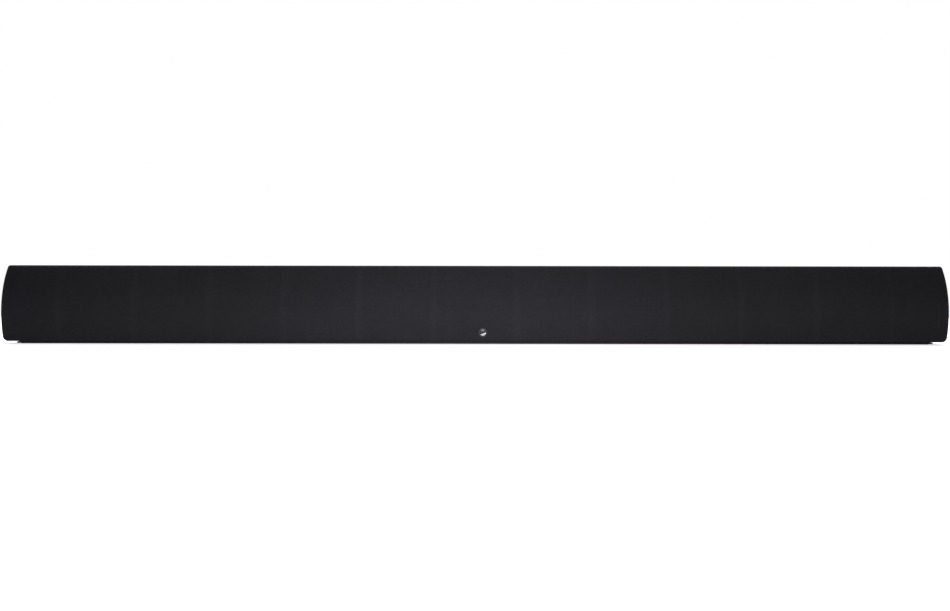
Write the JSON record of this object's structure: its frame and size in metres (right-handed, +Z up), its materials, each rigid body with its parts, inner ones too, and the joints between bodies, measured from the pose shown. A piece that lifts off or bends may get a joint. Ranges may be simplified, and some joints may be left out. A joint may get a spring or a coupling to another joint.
{
  "type": "soundbar",
  "caption": "Long low soundbar with a bowed full-width cloth grille on the front, press buttons on top, and a connector tray, bass ports and keyhole mounts at the back.",
  "frame": {"origin": "under the middle of the bar, on the surface that the rubber strips stand on, halfway between the grille's foremost line and the back", "axes": "+X runs along the bar to the right as seen from the front, +Y runs from the grille to the back, +Z is up"},
  "size_m": [1.2, 0.086, 0.1006],
  "materials": {
    "grille_fabric": "matt near-black woven speaker cloth",
    "moulded_black": "fine-textured black moulded plastic",
    "bright_chrome": "polished",
    "painted_steel": "matt black powder coat",
    "black_rubber": "matt",
    "painted_board": "matt black painted fibreboard",
    "zinc_steel": "zinc plated",
    "circuit_board": "green solder mask",
    "core_steel": "varnished laminated steel",
    "bare_aluminium": "extruded, bare",
    "sensor_lens": "dark red window",
    "ferrite": "grey sintered ferrite",
    "spider_cloth": "varnished yellow cloth",
    "paper_cone": "dark grey coated paper",
    "surround_rubber": "soft black rubber",
    "silk_dome": "coated silk"
  },
  "bodies": {
    "cabinet": {"cabinet_shell": "moulded_black", "base_plate": "painted_steel", "front_foot_strip": "black_rubber", "rear_foot_strip": "black_rubber", "left_end_cap": "moulded_black", "right_end_cap": "moulded_black", "left_bulkhead": "painted_board", "right_bulkhead": "painted_board", "front_baffle": "painted_board", "left_wall_mount": "zinc_steel", "right_wall_mount": "zinc_steel", "left_bass_port": "moulded_black", "right_bass_port": "moulded_black", "connector_tray": "moulded_black", "power_inlet": "moulded_black", "hdmi_socket": "moulded_black", "optical_socket": "moulded_black", "aux_socket": "zinc_steel", "main_board": "circuit_board", "power_supply_board": "circuit_board", "transformer": "core_steel", "heatsink": "bare_aluminium", "remote_sensor": "sensor_lens", "left_speaker_lead": "black_rubber", "right_speaker_lead": "black_rubber", "control_bezel": "moulded_black", "button_board": "circuit_board", "left_outer_woofer_basket": "moulded_black", "left_outer_woofer_magnet": "ferrite", "left_outer_woofer_spider": "spider_cloth", "left_outer_woofer_surround": "surround_rubber", "left_inner_woofer_basket": "moulded_black", "left_inner_woofer_magnet": "ferrite", "left_inner_woofer_spider": "spider_cloth", "left_inner_woofer_surround": "surround_rubber", "right_inner_woofer_basket": "moulded_black", "right_inner_woofer_magnet": "ferrite", "right_inner_woofer_spider": "spider_cloth", "right_inner_woofer_surround": "surround_rubber", "right_outer_woofer_basket": "moulded_black", "right_outer_woofer_magnet": "ferrite", "right_outer_woofer_spider": "spider_cloth", "right_outer_woofer_surround": "surround_rubber", "left_tweeter_faceplate": "moulded_black", "left_tweeter_dome": "silk_dome", "left_tweeter_magnet": "ferrite", "right_tweeter_faceplate": "moulded_black", "right_tweeter_dome": "silk_dome", "right_tweeter_magnet": "ferrite"},
    "grille": {"grille_frame": "moulded_black", "grille_cloth": "grille_fabric", "badge": "bright_chrome"},
    "power_button": {"power_button": "moulded_black"},
    "source_button": {"source_button": "moulded_black"},
    "volume_down_button": {"volume_down_button": "moulded_black"},
    "volume_up_button": {"volume_up_button": "moulded_black"},
    "left_outer_woofer_cone": {"left_outer_woofer_cone": "paper_cone"},
    "left_inner_woofer_cone": {"left_inner_woofer_cone": "paper_cone"},
    "right_inner_woofer_cone": {"right_inner_woofer_cone": "paper_cone"},
    "right_outer_woofer_cone": {"right_outer_woofer_cone": "paper_cone"}
  },
  "joints": [
    {"name": "grille_pull", "type": "slide", "parent": "cabinet", "child": "grille", "axis": [0, -1, 0], "range_m": [0, 0.08]},
    {"name": "power_press", "type": "slide", "parent": "cabinet", "child": "power_button", "axis": [0, 0, -1], "range_m": [0, 0.0008], "stiffness_N_per_m": 800},
    {"name": "source_press", "type": "slide", "parent": "cabinet", "child": "source_button", "axis": [0, 0, -1], "range_m": [0, 0.0008], "stiffness_N_per_m": 800},
    {"name": "volume_down_press", "type": "slide", "parent": "cabinet", "child": "volume_down_button", "axis": [0, 0, -1], "range_m": [0, 0.0008], "stiffness_N_per_m": 800},
    {"name": "volume_up_press", "type": "slide", "parent": "cabinet", "child": "volume_up_button", "axis": [0, 0, -1], "range_m": [0, 0.0008], "stiffness_N_per_m": 800},
    {"name": "left_outer_cone_travel", "type": "slide", "parent": "cabinet", "child": "left_outer_woofer_cone", "axis": [0, -1, 0], "range_m": [-0.003, 0.003], "stiffness_N_per_m": 1500},
    {"name": "left_inner_cone_travel", "type": "slide", "parent": "cabinet", "child": "left_inner_woofer_cone", "axis": [0, -1, 0], "range_m": [-0.003, 0.003], "stiffness_N_per_m": 1500},
    {"name": "right_inner_cone_travel", "type": "slide", "parent": "cabinet", "child": "right_inner_woofer_cone", "axis": [0, -1, 0], "range_m": [-0.003, 0.003], "stiffness_N_per_m": 1500},
    {"name": "right_outer_cone_travel", "type": "slide", "parent": "cabinet", "child": "right_outer_woofer_cone", "axis": [0, -1, 0], "range_m": [-0.003, 0.003], "stiffness_N_per_m": 1500}
  ]
}
